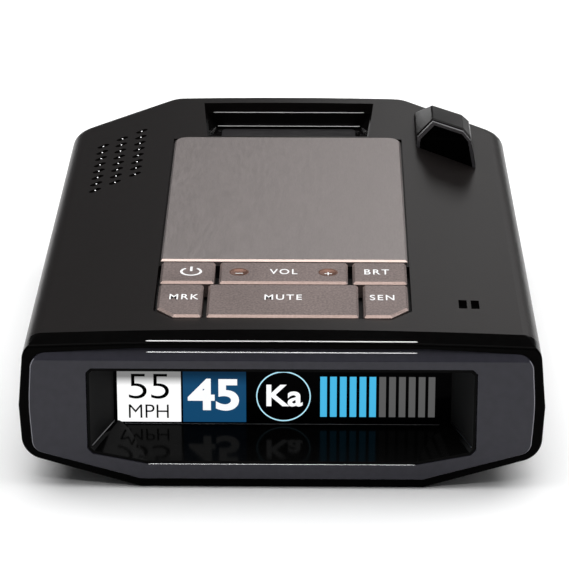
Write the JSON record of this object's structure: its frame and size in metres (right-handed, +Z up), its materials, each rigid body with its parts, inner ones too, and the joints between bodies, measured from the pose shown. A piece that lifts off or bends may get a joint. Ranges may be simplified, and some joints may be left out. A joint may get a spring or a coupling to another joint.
{
  "type": "radar detector",
  "caption": "Windshield radar detector: flat case with a recessed front display, top keys, speaker grille, raised rear sensor pod and a magnetic mount pocket.",
  "frame": {"origin": "bottom centre of the bounding box, on the surface the case rests on", "axes": "+X to the right as the driver sees the display, +Y from the display to the windshield, +Z up"},
  "size_m": [0.0842, 0.1206, 0.0318],
  "materials": {
    "cover": "satin moulded plastic",
    "ring": "high gloss",
    "bezel": "high gloss, dark blue-grey",
    "shroud": "gloss black",
    "window": "clear, glossy",
    "screen": "lit colour display",
    "plate": "fine brushed, warm grey",
    "key": "fine blasted, warm grey",
    "black_plastic": "plain moulded",
    "cradle": "gloss black",
    "steel": "brushed",
    "magnet": "nickel plated",
    "ir_window": "infra-red passing, gloss",
    "pod_window": "gloss black",
    "die_cast": "die cast",
    "lens": "polished",
    "board": "solder mask",
    "chip": "moulded epoxy",
    "shield": "tinned sheet",
    "mesh": "fine dust mesh",
    "speaker": "basket and cone",
    "light_guide": "smoked clear",
    "ceramic": "fired dielectric",
    "flex": "polyimide",
    "contact": "moulded connector",
    "screw": "black zinc",
    "label": "blank polyester film"
  },
  "bodies": {
    "case": {"audio_jack": "contact", "board_screws": "screw", "bottom_cover": "cover", "case_screws": "screw", "chips": "chip", "display_board": "board", "display_cable": "flex", "display_panel": "screen", "display_shroud": "shroud", "display_window": "window", "dome_brightness": "steel", "dome_mark": "steel", "dome_mute": "steel", "dome_power": "steel", "dome_sensitivity": "steel", "dome_volume": "steel", "front_bezel": "bezel", "front_ring": "ring", "gps_antenna": "ceramic", "horn_antenna": "die_cast", "key_board": "board", "key_guide": "black_plastic", "laser_barrel": "black_plastic", "laser_board": "board", "laser_lens": "lens", "light_guides": "light_guide", "light_sensors": "board", "main_board": "board", "mount_cradle": "cradle", "mount_magnets": "magnet", "pod_housing": "cover", "pod_lip": "bezel", "pod_sensor": "board", "pod_window": "pod_window", "power_jack": "contact", "rating_label": "label", "rear_window": "ir_window", "rf_module": "shield", "rocker_pin": "steel", "speaker": "speaker", "speaker_mesh": "mesh", "strike_plate": "steel", "top_cover": "cover", "top_plate": "plate", "usb_port": "shield", "wireless_module": "shield"},
    "key_power": {"key_power": "key"},
    "key_brightness": {"key_brightness": "key"},
    "key_mark": {"key_mark": "key"},
    "key_mute": {"key_mute": "key"},
    "key_sensitivity": {"key_sensitivity": "key"},
    "key_volume": {"key_volume": "key"}
  },
  "joints": [
    {"name": "power_press", "type": "slide", "parent": "case", "child": "key_power", "axis": [0, 0, -1], "range_m": [0, 0.00035], "stiffness_N_per_m": 1500, "deforming": ["dome_power"]},
    {"name": "brightness_press", "type": "slide", "parent": "case", "child": "key_brightness", "axis": [0, 0, -1], "range_m": [0, 0.00035], "stiffness_N_per_m": 1500, "deforming": ["dome_brightness"]},
    {"name": "mark_press", "type": "slide", "parent": "case", "child": "key_mark", "axis": [0, 0, -1], "range_m": [0, 0.00035], "stiffness_N_per_m": 1500, "deforming": ["dome_mark"]},
    {"name": "mute_press", "type": "slide", "parent": "case", "child": "key_mute", "axis": [0, 0, -1], "range_m": [0, 0.00035], "stiffness_N_per_m": 1500, "deforming": ["dome_mute"]},
    {"name": "sensitivity_press", "type": "slide", "parent": "case", "child": "key_sensitivity", "axis": [0, 0, -1], "range_m": [0, 0.00035], "stiffness_N_per_m": 1500, "deforming": ["dome_sensitivity"]},
    {"name": "volume_rock", "type": "hinge", "parent": "case", "child": "key_volume", "pos_m": [0, -0.03225, 0.02375], "axis": [0, 1, 0], "range_deg": [-1.5, 1.5], "stiffness_Nm_per_rad": 0.35, "deforming": ["dome_volume"]}
  ]
}
